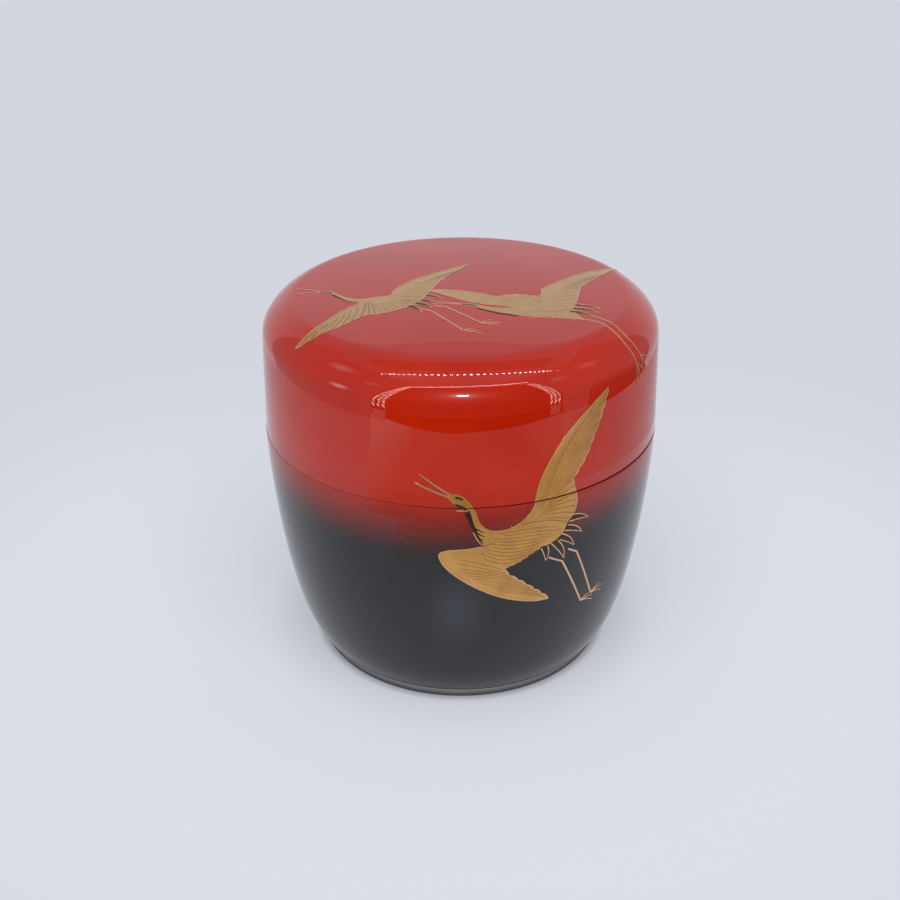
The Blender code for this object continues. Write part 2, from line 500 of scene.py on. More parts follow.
# %% The lid's outer line
DOME_POINTS = 24
SHOULDER_POINTS = 30


def lid_outer_line():
    """The lid from the middle of its dome down to its mouth."""
    shoulder = Vector((LID_MOUTH_RADIUS - LID_TAPER, LID_SHOULDER))
    dome_edge = shoulder.x - SHOULDER_WIDTH
    dome = []
    for step in range(DOME_POINTS + 1):
        share = step / DOME_POINTS
        dome.append(Vector((dome_edge * share, HEIGHT - DOME_RISE * share * share)))
    mouth = Vector((LID_MOUTH_RADIUS, LID_MOUTH))
    top_pull = Vector((dome_edge, -2 * DOME_RISE)).normalized() * SHOULDER_REACH_TOP
    side_pull = (mouth - shoulder).normalized() * SHOULDER_REACH_SIDE
    rounded = curve(dome[-1], top_pull, side_pull, shoulder, SHOULDER_POINTS)
    return dome + rounded[1:] + soft_corner(mouth, SEAM_EDGE, DOWN, IN)


lid_line = lid_outer_line()
print("lid's outer line: %d points" % len(lid_line))

# %% The body's outer line
WALL_POINTS = 48


def body_outer_line():
    """The body from its parting line down its wall, round the foot ring and in to the axis."""
    top_edge = soft_corner(Vector((BELLY_RADIUS, PARTING)), SEAM_EDGE, OUT, DOWN)
    bottom = Vector((FOOT_RADIUS, FOOT_HEIGHT))
    tucked_in = Vector((-math.sin(WALL_CURVE_ANGLE), -math.cos(WALL_CURVE_ANGLE)))
    wall = curve(top_edge[-1], DOWN * BELLY_REACH, tucked_in * FOOT_REACH, bottom, WALL_POINTS)
    toe_edge = soft_corner(Vector((FOOT_RADIUS, 0.0)), SOFT_EDGE, DOWN, IN)
    ring_inner = FOOT_RADIUS - FOOT_RING_WIDTH
    recess = [
        Vector((ring_inner, 0.0)),
        Vector((ring_inner - SOFT_EDGE, BASE_RECESS)),
        Vector((0.0, BASE_RECESS)),
    ]
    return top_edge + wall[1:] + toe_edge + recess


body_line = body_outer_line()
print("body's outer line: %d points" % len(body_line))


# %% The lines inside
def body_inner_line():
    """The body from the middle of its floor, up the well and over the rim to the ledge."""
    floor_height = BASE_RECESS + FLOOR_THICKNESS
    at_rim_top = (RIM_TOP - LID_MOUTH) / (LID_SHOULDER - LID_MOUTH)
    rim_outer = LID_MOUTH_RADIUS - LID_TAPER * at_rim_top - LID_WALL - RIM_CLEARANCE
    rim_inner = rim_outer - RIM_WALL
    wall = body_line[EDGE_POINTS:EDGE_POINTS + WALL_POINTS]
    well = []
    for place in reversed(offset_inward(wall, BODY_WALL)):
        if floor_height + SOFT_EDGE < place.y < PARTING - BODY_WALL:
            well.append(Vector((min(place.x, rim_inner), place.y)))
    floor_middle = Vector((0.0, floor_height))
    floor_edge = Vector((well[0].x - 2 * SOFT_EDGE, floor_height))
    lip = soft_corner(Vector((rim_inner, RIM_TOP)), RIM_WALL / 2, UP, OUT)
    lip += soft_corner(Vector((rim_outer, RIM_TOP)), RIM_WALL / 2, OUT, DOWN)[1:]
    return [floor_middle, floor_edge] + well + lip + [Vector((rim_outer, PARTING))]


body_inner = body_inner_line()
lid_inner = offset_inward(lid_line[:-EDGE_POINTS - 1], LID_WALL)
lid_inner[0] = Vector((0.0, HEIGHT - LID_WALL))
lid_inner.append(Vector((LID_MOUTH_RADIUS - LID_WALL, LID_MOUTH + SOFT_EDGE)))
lid_inner.append(Vector((LID_MOUTH_RADIUS - LID_WALL + SOFT_EDGE, LID_MOUTH)))
print("inner lines: %d points in the lid, %d in the body" % (len(lid_inner), len(body_inner)))

# %% [markdown]
# ## Lacquer
# Lacquer is a tree sap that hardens into a deep, glassy film. Vermilion pigment makes it red, iron makes
# it black. It is brushed on in many coats and polished with powder, which leaves a mirror with hardly a
# wave in it. The shader is a plain gloss with the refraction of hardened sap, a faint unevenness in its
# tone and polish, and waves a few ten-thousandths of a millimetre high.

# %% What every lacquer has
LACQUER_IOR = 1.52
TONE_PATCH = 9.0
POLISH_PATCH = 14.0
WAVE_LENGTH = 5.0
WAVE_HEIGHT = 0.0003
NOISE_LOW = 0.3
NOISE_HIGH = 0.7


def wander(tree, patch, low, high, detail=2.0):
    """A value that wanders between two others, in patches about so many millimetres wide."""
    place = add_node(tree, "ShaderNodeTexCoord").outputs["Object"]
    noise = {"Vector": place, "Scale": 1 / (patch * MM), "Detail": detail}
    clouds = add_node(tree, "ShaderNodeTexNoise", noise)
    return add_node(tree, "ShaderNodeMapRange", [clouds, NOISE_LOW, NOISE_HIGH, low, high])


def two_tones(tree, dark, light):
    """A pigment that drifts between two tones, in patches about a centimetre wide."""
    tones = {"Factor": wander(tree, TONE_PATCH, 0.0, 1.0), "A": colour(dark), "B": colour(light)}
    return add_node(tree, "ShaderNodeMix", tones, data_type="RGBA")


def polish(tree, shader, paint, smooth_part, dull_part):
    """Give a lacquer its paint, the slight unevenness of its gloss and its faint waves."""
    shader.inputs["IOR"].default_value = LACQUER_IOR
    height = wander(tree, WAVE_LENGTH, NOISE_LOW, NOISE_HIGH)
    waves = add_node(tree, "ShaderNodeBump", {"Height": height, "Distance": WAVE_HEIGHT * MM})
    roughness = wander(tree, POLISH_PATCH, smooth_part, dull_part)
    fill(tree, shader, {"Base Color": paint, "Roughness": roughness, "Normal": waves})


print("lacquer refracts light by", LACQUER_IOR)

# %% Vermilion, black and the foot's rubbed ring, with painted shade and a painted highlight
# The grain of the sprinkled pigment is drawn wider than the powder, so that it shows. The fade's edge
# wanders up and down by FADE_SPREAD.
SPRINKLE_GRAIN = 0.22
FADE_SPREAD = 1.1
# The foot's grey goes from dark at GREY_FROM to palest at RUBBED_TO: painted shade low on the ring and a
# painted highlight along its top edge. Above FRESH_FROM the lacquer is polished again.
RUBBED_TO = FOOT_HEIGHT + 0.3
FRESH_FROM = FOOT_HEIGHT + 0.9
GREY_FROM = 0.5


def height_share(tree, low, high, low_share, high_share, curve_kind="LINEAR", grain=0.0):
    """A share that changes with height on the piece. A grain breaks up the edge of the change."""
    place = add_node(tree, "ShaderNodeTexCoord").outputs["Object"]
    height = add_node(tree, "ShaderNodeSeparateXYZ", [place]).outputs["Z"]
    if grain:
        ragged = wander(tree, SPRINKLE_GRAIN, -grain * MM, grain * MM, 1.0)
        height = add_node(tree, "ShaderNodeMath", [height, ragged], operation="ADD")
    change = [height, low * MM, high * MM, low_share, high_share]
    return add_node(tree, "ShaderNodeMapRange", change, interpolation_type=curve_kind)


def vermilion_to_black(name, black_height, red_height, black_share, red_share, curve_kind):
    """Vermilion over black: above red_height the red covers, below black_height the black shows."""
    material, tree, shader = new_finish(name)
    share = height_share(tree, black_height, red_height, black_share, red_share, curve_kind, FADE_SPREAD)
    both = {"Factor": share, "A": colour("#101114"), "B": two_tones(tree, "#BA1E06", "#C32509")}
    polish(tree, shader, add_node(tree, "ShaderNodeMix", both, data_type="RGBA"), 0.014, 0.026)
    return material


def rub_foot_and_paint_highlight(material, shade_grey, highlight_grey, roughness_when_rubbed):
    """Grey and dull the rubbed foot ring: its grey is painted shade low down and a painted highlight on top.
    """
    tree = material.node_tree
    shader = tree.nodes["Principled BSDF"]
    rubbed = height_share(tree, RUBBED_TO, FRESH_FROM, 1.0, 0.0, "SMOOTHSTEP")
    shade_to_highlight = height_share(tree, GREY_FROM, RUBBED_TO, 0.0, 1.0)
    greys = {"Factor": shade_to_highlight, "A": colour(shade_grey), "B": colour(highlight_grey)}
    grey = add_node(tree, "ShaderNodeMix", greys, data_type="RGBA")
    for socket, kind, when_rubbed in (
        ("Base Color", "RGBA", grey),
        ("Roughness", "FLOAT", roughness_when_rubbed),
    ):
        fresh = shader.inputs[socket].links[0].from_socket
        parts = {"Factor": rubbed, "A": fresh, "B": when_rubbed}
        fill(tree, shader, {socket: add_node(tree, "ShaderNodeMix", parts, data_type=kind)})


def black_lacquer(name, dark, light, smooth_part, dull_part):
    """Plain black lacquer."""
    material, tree, shader = new_finish(name)
    polish(tree, shader, two_tones(tree, dark, light), smooth_part, dull_part)
    return material


# %% The lacquers
# Vermilion is an opaque, slightly orange red. Polished to a mirror it looks deep, and goes pale only
# where it is seen at a slant.
lid_finish = vermilion_to_black("vermilion lacquer, polished", 41.0, 44.5, 0.88, 1.0, "LINEAR")
# The fade is red pigment sprinkled ever thinner on wet black lacquer, so its edge is a fine grain to the
# eye and not a smooth mix.
body_finish = vermilion_to_black(
    "vermilion lacquer sprinkled into black", 31.5, 45.9, 0.0, 1.0, "SMOOTHSTEP",
)
# Rubbing has taken the polish off the foot ring and left a soft sheen. Its grey is painted shade low
# down and a painted highlight along its top edge.
rub_foot_and_paint_highlight(body_finish, "#48484D", "#989492", 0.32)
# Inside, the black is polished a little less than the outside, so its mirror is softer.
inner_finish = black_lacquer("black lacquer, polished inside", "#0E0F11", "#17171A", 0.10, 0.16)
print("finishes:", lid_finish.name, "/", body_finish.name, "/", inner_finish.name)

# %% [markdown]
# ## Turning on a lathe made of nodes
# A shell is its line carried once round the axis, so its mesh follows a rule. The tree below is a small
# lathe: it lays the line as the section of a circular path, closes the poles on the axis, and gives the
# faces inside the shell their own finish. A Screw modifier turns a line as well, but one tree also tilts
# the lid and tells the inside from the outside. The result is kept as a plain mesh.

# %% Making trees and growing meshes with them
CREASE_ANGLE = math.radians(40)


def new_tree(name, sockets):
    """A geometry tree with named inputs; returns the tree, its inputs and the node for its result."""
    tree = bpy.data.node_groups.new(name, "GeometryNodeTree")
    tree.interface.new_socket("Geometry", in_out="INPUT", socket_type="NodeSocketGeometry")
    for label, kind in sockets.items():
        tree.interface.new_socket(label, in_out="INPUT", socket_type="NodeSocket" + kind)
    tree.interface.new_socket("Geometry", in_out="OUTPUT", socket_type="NodeSocketGeometry")
    return tree, tree.nodes.new("NodeGroupInput").outputs, tree.nodes.new("NodeGroupOutput")


def settle_and_dress(tree, mesh, tilt, finish):
    """Tilt a tree's mesh as the lid sits, shade it smoothly and give it its finish."""
    place = add_node(tree, "GeometryNodeInputPosition")
    lift = add_node(tree, "ShaderNodeVectorMath", [place, tilt], operation="DOT_PRODUCT")
    upwards = add_node(tree, "ShaderNodeCombineXYZ", {"Z": lift})
    mesh = add_node(tree, "GeometryNodeSetPosition", {0: mesh, "Offset": upwards})
    mesh = add_node(tree, "GeometryNodeSetShadeSmooth", [mesh])
    mesh = add_node(tree, "GeometryNodeRealizeInstances", [mesh])
    return add_node(tree, "GeometryNodeSetMaterial", {0: mesh, "Material": finish})


def grow(name, source, steps):
    """Run one or more trees on a source object and keep the result as a plain object at the origin."""
    for tree, values in steps:
        modifier = source.modifiers.new(tree.name, "NODES")
        modifier.node_group = tree
        for socket in tree.interface.items_tree:
            if socket.in_out == "INPUT" and socket.name in values:
                modifier[socket.identifier] = values[socket.name]
    bpy.context.view_layer.update()
    evaluated = source.evaluated_get(bpy.context.evaluated_depsgraph_get())
    mesh = bpy.data.meshes.new_from_object(evaluated)
    bpy.data.objects.remove(source, do_unlink=True)
    mesh.name = name
    mesh.set_sharp_from_angle(angle=CREASE_ANGLE)
    print(name, len(mesh.polygons), "faces")
    return new_object(name, mesh)


# %% The lathe tree
TURNING_STEPS = 240
PATH_RADIUS = 10.0
CLOSE_ENOUGH = 0.002
PARTLY_INSIDE = 0.4

lathe, given, result = new_tree(
    "lathe", {"Steps": "Int", "Tilt": "Vector", "Outer finish": "Material", "Inner finish": "Material"},
)
place = add_node(lathe, "GeometryNodeInputPosition")
from_axis, _, height = add_node(lathe, "ShaderNodeSeparateXYZ", [place]).outputs
from_path = add_node(lathe, "ShaderNodeMath", [from_axis, PATH_RADIUS * MM], operation="SUBTRACT")
downwards = add_node(lathe, "ShaderNodeMath", [height, -1.0], operation="MULTIPLY")
laid = add_node(lathe, "ShaderNodeCombineXYZ", [from_path, downwards])
section = add_node(lathe, "GeometryNodeMeshToCurve", [given["Geometry"]])
section = add_node(lathe, "GeometryNodeSetPosition", {0: section, "Position": laid})
round_path = {"Resolution": given["Steps"], "Radius": PATH_RADIUS * MM}
path = add_node(lathe, "GeometryNodeCurvePrimitiveCircle", round_path)
shell = add_node(lathe, "GeometryNodeCurveToMesh", {0: path, "Profile Curve": section})
shell = add_node(lathe, "GeometryNodeMergeByDistance", {0: shell, "Distance": CLOSE_ENOUGH * MM})
shell = settle_and_dress(lathe, shell, given["Tilt"], given["Outer finish"])
inside = add_node(lathe, "GeometryNodeInputNamedAttribute", {"Name": "inside"}, data_type="FLOAT")
at_least_partly = add_node(lathe, "FunctionNodeCompare", [inside, PARTLY_INSIDE])
inner_dress = {0: shell, "Selection": at_least_partly, "Material": given["Inner finish"]}
fill(lathe, result, [add_node(lathe, "GeometryNodeSetMaterial", inner_dress)])
print("lathe tree:", len(lathe.nodes), "nodes")

# %% [markdown]
# ## The two shells
# Each section runs once round the wood: along the outer line and back along the inner one for the lid,
# and up the well and down the wall for the body. Both shells are hollow, with walls as thin as the solids
# say, and the seam between them is a hair's breadth, as a well-fitted lid leaves. The points of the inner
# lines are marked, so that the faces inside, and those in the seam, take the black.

# %% Turn the lid and the body
def turn(name, lines, finish, tilt):
    """Turn one closed section. Each of its lines comes with the mark for the inner finish."""
    places = [(place.x, 0.0, place.y) for line, mark in lines for place in line]
    marks = [mark for line, mark in lines for _ in line]
    edges = [(index, index + 1) for index in range(len(places) - 1)]
    source = mesh_object(name + "_section", places, edges, [])
    source.data.attributes.new("inside", "FLOAT", "POINT").data.foreach_set("value", marks)
    values = {"Steps": TURNING_STEPS, "Tilt": tilt, "Outer finish": finish, "Inner finish": inner_finish}
    return grow(name, source, [(lathe, values)])


caddy_lid = turn("caddy_lid", [(lid_line, 0.0), (list(reversed(lid_inner)), 1.0)], lid_finish, LID_TILT)
caddy_body = turn("caddy_body", [(body_inner, 1.0), (body_line, 0.0)], body_finish, LEVEL)

# %% [markdown]
# ## Gold powder finishes
# In flat maki-e the picture is painted in wet lacquer, and gold powder is sprinkled on it and sticks.
# A thin clear coat seals it, and it is polished flush. The powder is real metal, but its grains lie every
# way, so it shines softly where a leaf would mirror. The fine feather lines are left out of the gold with
# a needle and fill with the brown of the clear coat. The legs, beaks and edges are drawn in a paler gold.

# %% Gold materials
# The powder's own grain is a few hundredths of a millimetre. It is drawn coarser, so that it shows.
GOLD_GRAIN = 0.14
GOLD_PATCH = 2.6
COAT_ROUGHNESS = 0.05
INK_SHINE = 0.35


def gold_finish(name, dark, light, roughness):
    """Gold powder under a clear coat: a grain as fine as the powder and slow patches of thicker gold."""
    material, tree, shader = new_finish(name)
    for socket, value in (
        ("Metallic", 1.0),
        ("Roughness", roughness),
        ("Coat Weight", 1.0),
        ("Coat Roughness", COAT_ROUGHNESS),
    ):
        shader.inputs[socket].default_value = value
    grain = wander(tree, GOLD_GRAIN, -0.3, 0.3, 1.0)
    patches = wander(tree, GOLD_PATCH, 0.1, 0.9)
    both = add_node(tree, "ShaderNodeMath", [grain, patches], operation="ADD", use_clamp=True)
    golds = {"Factor": both, "A": colour(dark), "B": colour(light)}
    fill(tree, shader, {"Base Color": add_node(tree, "ShaderNodeMix", golds, data_type="RGBA")})
    return material


# The broad gold shapes glow rather than mirror: warm, a little dull, and finely grained.
gold_powder = gold_finish("gold powder under clear lacquer", "#D29946", "#E6AF58", 0.48)
# Powder of a paler gold, sprinkled on a raised wet line, stands out light from the gold and the black.
pale_gold = gold_finish("gold powder line, finely sprinkled", "#DCAE80", "#EEC294", 0.42)
# A scratched line lets the brown coat fill it, so a feather line is darker than the gold, but not black.
needle_brown = gold_finish("needle line filled with clear lacquer", "#B07C38", "#C08A42", 0.5)
# Brushed black lines are left unpolished: dull, and brownish where the brush ran thin.
black_ink = black_lacquer("black lacquer line, brushed", "#2C120A", "#3A1C10", 0.22, 0.30)
black_ink.node_tree.nodes["Principled BSDF"].inputs["Specular IOR Level"].default_value = INK_SHINE
print("gold finishes:", gold_powder.name, "/", pale_gold.name, "/", needle_brown.name)

# %% [markdown]
# ## Drawing on a flat sheet
# The cranes are drawn flat, in millimetres. A few guide points give a line its sweep, and a soft curve
# goes through them. Wing edges are broken into feather tips, and feathers are fans of lines between
# two such curves, so one wing is a handful of numbers. The birds are this lesson's own drawing.

# %% Lines, places along them and outlines
LINE_STEP = 0.35
SMALLEST = 0.02


def smooth(*guides):
    """A soft line through a few guide points."""
    points = [Vector(guide) for guide in guides]
    ends = [2 * points[0] - points[1]] + points + [2 * points[-1] - points[-2]]
    line = []
    for before, start, end, after in zip(ends, ends[1:], ends[2:], ends[3:]):
        steps = max(1, math.ceil((end - start).length / LINE_STEP))
        for step in range(steps):
            t = step / steps
            line.append(0.5 * (
                2 * start
                + (end - before) * t
                + (2 * before - 5 * start + 4 * end - after) * t * t
                + (3 * start - before - 3 * end + after) * t ** 3
            ))
    line.append(points[-1])
    return line


def stations(line, first, last, count):
    """Evenly spaced places between two shares of a line's length."""
    reach = [0.0]
    for start, end in zip(line, line[1:]):
        reach.append(reach[-1] + (end - start).length)
    places = []
    for number in range(count):
        wanted = (first + (last - first) * number / (count - 1)) * reach[-1]
        index = 0
        while index < len(line) - 2 and reach[index + 1] < wanted:
            index += 1
        share = (wanted - reach[index]) / (reach[index + 1] - reach[index])
        places.append(line[index].lerp(line[index + 1], share))
    return places


def outline(*lines):
    """Join lines into a closed outline. A place where two of them meet is kept once."""
    joined = []
    for line, following in zip(lines, lines[1:] + lines[:1]):
        meets = (line[-1] - following[0]).length < SMALLEST
        joined += line[:-1] if meets else line
    return joined


sample = smooth((0.0, 0.0), (4.0, 1.0), (8.0, 0.0))
print("a soft line through three guide points has", len(sample), "places")

# %% Feather tips and fans of feathers
TIP_STEPS = 6
TIP_LEAN = 0.7
FAN_STEPS = 8
ROW_STEPS = 40


def feather_tips(line, count, depth):
    """A line broken into tips that bulge to its left, as the ends of flight feathers do."""
    notches = stations(line, 0.0, 1.0, count + 1)
    edge = []
    for start, end in zip(notches, notches[1:]):
        side = Vector((start.y - end.y, end.x - start.x)).normalized() * depth
        for step in range(TIP_STEPS):
            share = step / TIP_STEPS
            edge.append(start.lerp(end, share) + side * math.sin(math.pi * share ** TIP_LEAN))
    edge.append(notches[-1])
    return edge


def fan(roots, tips, bow, start=0.0, stop=1.0):
    """Bowed lines from roots to tips. Each may start after its root and stop short of its tip."""
    lines = []
    for root, tip in zip(roots, tips):
        side = Vector((root.y - tip.y, tip.x - root.x)) * bow
        line = []
        for step in range(FAN_STEPS + 1):
            share = start + (stop - start) * step / FAN_STEPS
            line.append(root.lerp(tip, share) + side * 4 * share * (1 - share))
        lines.append(line)
    return lines


def scales(top, low, rows, strokes, reach, bow):
    """Rows of overlapping strokes between two lines, each row set half a stroke on from the last.

    reach is the share of its row that one stroke covers.
    """
    lines = []
    for row in range(rows):
        pairs = zip(stations(top, 0.0, 1.0, ROW_STEPS), stations(low, 0.0, 1.0, ROW_STEPS))
        line = [start.lerp(end, row / (rows - 1)) for start, end in pairs]
        first = 0.5 / strokes * (row % 2)
        last = first + 1.0 - reach - 0.5 / strokes
        roots = stations(line, first, last, strokes)
        lines += fan(roots, stations(line, first + reach, last + reach, strokes), bow)
    return lines


print("with four feather tips it has", len(feather_tips(sample, 4, 0.2)), "places")

# %% Pens, plumes and legs
PLUME_BOW = 0.12
PLUME_PEN = (0.20, 0.12)
VANE_REACH = 0.8
VANE_TIP = 0.05
TOE_BOW = 0.08
TOE_ROOT = 0.8
TOE_TIP = 0.4


def pen(lines, start_width, end_width):
    """Give each line the width of the pen at its start and at its end."""
    return [(line, start_width, end_width) for line in lines]


def plumes(*shapes):
    """Tail plumes as pale strokes and black ones: two bowed edges that close at a tip, and the vane."""
    edges = []
    vanes = []
    for shape in shapes:
        upper, tip, lower = (Vector(place) for place in shape)
        edges += fan([upper], [tip], PLUME_BOW) + fan([lower], [tip], PLUME_BOW / 4)
        vane = fan([upper.lerp(lower, 0.5)], [tip], PLUME_BOW / 2, 0.0, VANE_REACH)
        vanes += pen(vane, 0.5 * (upper - lower).length, VANE_TIP)
    return pen(edges, *PLUME_PEN), vanes


def claws(heel, toes, bow, heel_width, tip_width):
    """Toes that spread from a heel."""
    return pen(fan([Vector(heel)] * len(toes), [Vector(toe) for toe in toes], bow), heel_width, tip_width)


def leg(hip, knee, heel, toes, width):
    """A thin leg with a sharp knee, and toes that spread from its heel."""
    bones = pen([smooth(hip, knee), smooth(knee, heel)], width, width)
    return bones + claws(heel, toes, TOE_BOW, width * TOE_ROOT, width * TOE_TIP)


sample = leg((0.0, 0.0), (2.0, -1.0), (3.0, -6.0), ((4.0, -7.0), (3.0, -7.0), (2.0, -6.5)), 0.3)
print("a leg with three toes is", len(sample), "strokes of the pen")

# %% [markdown]
# ## From the sheet to the shell
# Two trees bring the drawing to the shell. The first gives pen lines their width. The second makes a film
# of the flat shapes and wraps it: the distance from the parting line, or from the middle of the lid, is
# walked along the very line that the lathe turned, so the film follows dome, shoulder and belly.
# The film's foot is sunk into the lacquer, and only a few hundredths of a millimetre stand proud. A
# painted image would be simpler, but it would blur close up, and it has no edge to catch the light.

# %% The pen tree
pens, given, result = new_tree("pen", {})
lines = add_node(pens, "GeometryNodeMeshToCurve", [given["Geometry"]])
lines = add_node(pens, "GeometryNodeSetCurveNormal", [lines], mode="Z_UP")
half_width = add_node(pens, "GeometryNodeInputNamedAttribute", {"Name": "half_width"}, data_type="FLOAT")
nib = add_node(pens, "GeometryNodeCurvePrimitiveLine", {"Start": (-1.0, 0.0, 0.0), "End": (1.0, 0.0, 0.0)})
ribbons = {0: lines, "Profile Curve": nib, "Scale": half_width}
fill(pens, result, [add_node(pens, "GeometryNodeCurveToMesh", ribbons)])
print("pen tree:", len(pens.nodes), "nodes")

# %% The wrapping tree: a film with its foot in the lacquer
SINK = 0.10
TOUCHING = 0.001

wrap, given, result = new_tree(
    "wrap",
    {
        "Line": "Object",
        "Seam length": "Float",
        "Girth radius": "Float",
        "From the middle": "Bool",
        "Film": "Float",
        "Tilt": "Vector",
        "Finish": "Material",
    },
)
sheet = add_node(wrap, "GeometryNodeSetPosition", {0: given["Geometry"], "Offset": (0.0, 0.0, -SINK * MM)})
thickness = add_node(wrap, "ShaderNodeMath", [given["Film"], SINK * MM], operation="ADD")
upwards = {0: sheet, "Offset": (0.0, 0.0, 1.0), "Offset Scale": thickness, "Individual": False}
raised = add_node(wrap, "GeometryNodeExtrudeMesh", upwards)
under = add_node(wrap, "GeometryNodeFlipFaces", [sheet])
film = add_node(wrap, "GeometryNodeJoinGeometry", [under])
fill(wrap, film, [raised])
film = add_node(wrap, "GeometryNodeMergeByDistance", {0: film, "Distance": TOUCHING * MM})
print("the film part of the wrapping tree has", len(wrap.nodes), "nodes")

# %% The wrapping tree: where each place of the sheet goes
place = add_node(wrap, "GeometryNodeInputPosition")
across, along, proud = add_node(wrap, "ShaderNodeSeparateXYZ", [place]).outputs
flat_place = add_node(wrap, "ShaderNodeCombineXYZ", [across, along])
from_middle = add_node(wrap, "ShaderNodeVectorMath", [flat_place], operation="LENGTH")
compass = add_node(wrap, "ShaderNodeMath", [along, across], operation="ARCTAN2")
from_seam = add_node(wrap, "ShaderNodeMath", [given["Seam length"], along], operation="SUBTRACT")
turned = add_node(wrap, "ShaderNodeMath", [across, given["Girth radius"]], operation="DIVIDE")
turned = add_node(wrap, "ShaderNodeMath", [turned, math.pi / 2], operation="SUBTRACT")
either_walk = {"Switch": given["From the middle"], "False": from_seam, "True": from_middle}
walked = add_node(wrap, "GeometryNodeSwitch", either_walk, input_type="FLOAT")
either_angle = {"Switch": given["From the middle"], "False": turned, "True": compass}
angle = add_node(wrap, "GeometryNodeSwitch", either_angle, input_type="FLOAT")

line = add_node(wrap, "GeometryNodeObjectInfo", {"Object": given["Line"]}).outputs["Geometry"]
line = add_node(wrap, "GeometryNodeMeshToCurve", [line])
walk = {"Curves": line, "Length": walked}
met = add_node(wrap, "GeometryNodeSampleCurve", walk, mode="LENGTH").outputs
crossed = [met["Tangent"], (0.0, 1.0, 0.0)]
outwards = add_node(wrap, "ShaderNodeVectorMath", crossed, operation="CROSS_PRODUCT")
outwards = add_node(wrap, "ShaderNodeVectorMath", [outwards], operation="NORMALIZE")
outwards = add_node(wrap, "ShaderNodeVectorMath", {0: outwards, "Scale": proud}, operation="SCALE")
on_shell = add_node(wrap, "ShaderNodeVectorMath", [met["Position"], outwards], operation="ADD")
round_axis = {"Vector": on_shell, "Angle": angle}
on_shell = add_node(wrap, "ShaderNodeVectorRotate", round_axis, rotation_type="Z_AXIS")
film = add_node(wrap, "GeometryNodeSetPosition", {0: film, "Position": on_shell})
fill(wrap, result, [settle_and_dress(wrap, film, given["Tilt"], given["Finish"])])
print("wrapping tree:", len(wrap.nodes), "nodes")


# %% The lines to walk along
def line_length(line):
    """The length of a turned line."""
    return sum((end - start).length for start, end in zip(line, line[1:]))


def guide_object(name, line):
    """A turned line as an object that the wrapping tree can walk along."""
    edges = [(index, index + 1) for index in range(len(line) - 1)]
    return mesh_object(name, [(place.x, 0.0, place.y) for place in line], edges, [])


# Each surface: its line, how far the parting is along it, and its tilt.
SURFACES = {
    "lid": (guide_object("lid_line", lid_line), line_length(lid_line[:-EDGE_POINTS]), LID_TILT),
    "body": (guide_object("body_line", body_line), line_length(body_line[:EDGE_POINTS + 1]), LEVEL),
}
for surface, (_, seam_length, _) in SURFACES.items():
    print("the parting is %.2f mm along the %s's line" % (seam_length, surface))

# %% Flat shapes and flat lines
GRID = 0.5
WELD = 0.003


def one_side(line, side):
    """The runs of a line on one side of the parting: 1 for the lid, -1 for the body."""
    runs = []
    run = []
    for start, end in zip(line, line[1:]):
        if start.y * side >= 0:
            run.append(start)
        if (start.y * side >= 0) != (end.y * side >= 0):
            run.append(start.lerp(end, start.y / (start.y - end.y)))
            if start.y * side >= 0:
                runs.append(run)
                run = []
    if line[-1].y * side >= 0:
        run.append(line[-1])
    if len(run) > 1:
        runs.append(run)
    return [kept for kept in runs if line_length(kept) > SMALLEST]


def flat_shape(name, edge, side):
    """Fill an outline, keep one side of the parting (0 keeps both), and cut it fine enough to bend."""
    sheet = bmesh.new()
    face = sheet.faces.new([sheet.verts.new((place.x, place.y, 0.0)) for place in edge])
    bmesh.ops.triangulate(sheet, faces=[face])
    for axis in (0, 1):
        reach = [place[axis] for place in edge]
        normal = Vector((1.0 - axis, float(axis), 0.0))
        for number in range(math.ceil(min(reach) / GRID), math.floor(max(reach) / GRID) + 1):
            everything = sheet.verts[:] + sheet.edges[:] + sheet.faces[:]
            bmesh.ops.bisect_plane(sheet, geom=everything, plane_co=normal * number * GRID, plane_no=normal)
    if side:
        wrong = [face for face in sheet.faces if face.calc_center_median().y * side < 0]
        bmesh.ops.delete(sheet, geom=wrong, context="FACES")
    bmesh.ops.remove_doubles(sheet, verts=sheet.verts[:], dist=WELD)
    for face in sheet.faces:
        face.normal_update()
        if face.normal.z < 0:
            face.normal_flip()
    bmesh.ops.scale(sheet, vec=(MM, MM, MM), verts=sheet.verts[:])
    mesh = bpy.data.meshes.new(name)
    sheet.to_mesh(mesh)
    sheet.free()
    return new_object(name, mesh)


def flat_lines(name, strokes, side):
    """Pen strokes as edges, with half the pen's width at every point."""
    places = []
    edges = []
    half_widths = []
    for line, start_width, end_width in strokes:
        for run in (one_side(line, side) if side else [line]):
            first = len(places)
            for number, spot in enumerate(run):
                share = number / (len(run) - 1)
                places.append((spot.x, spot.y, 0.0))
                half_widths.append((start_width + (end_width - start_width) * share) / 2 * MM)
            edges += [(first + number, first + number + 1) for number in range(len(run) - 1)]
    if not places:
        return None
    made = mesh_object(name, places, edges, [])
    made.data.attributes.new("half_width", "FLOAT", "POINT").data.foreach_set("value", half_widths)
    return made


print("flat shapes are cut every %.1f mm, so that they bend round the shell" % GRID)

# %% Films on the shell
GOLD_FILM = 0.04
LINE_FILMS = {"needle": (0.055, needle_brown), "black": (0.065, black_ink), "pale": (0.075, pale_gold)}


def film_on_shell(name, flat, first_steps, surface, from_middle, film, finish):
    """Turn a flat object into a film on the lid or on the body."""
    guide, seam_length, tilt = SURFACES[surface]
    values = {
        "Line": guide,
        "Seam length": seam_length * MM,
        "Girth radius": BELLY_RADIUS * MM,
        "From the middle": from_middle,
        "Film": film * MM,
        "Tilt": tilt,
        "Finish": finish,
    }
    made = grow(name, flat, first_steps + [(wrap, values)])
    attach(made, "root")


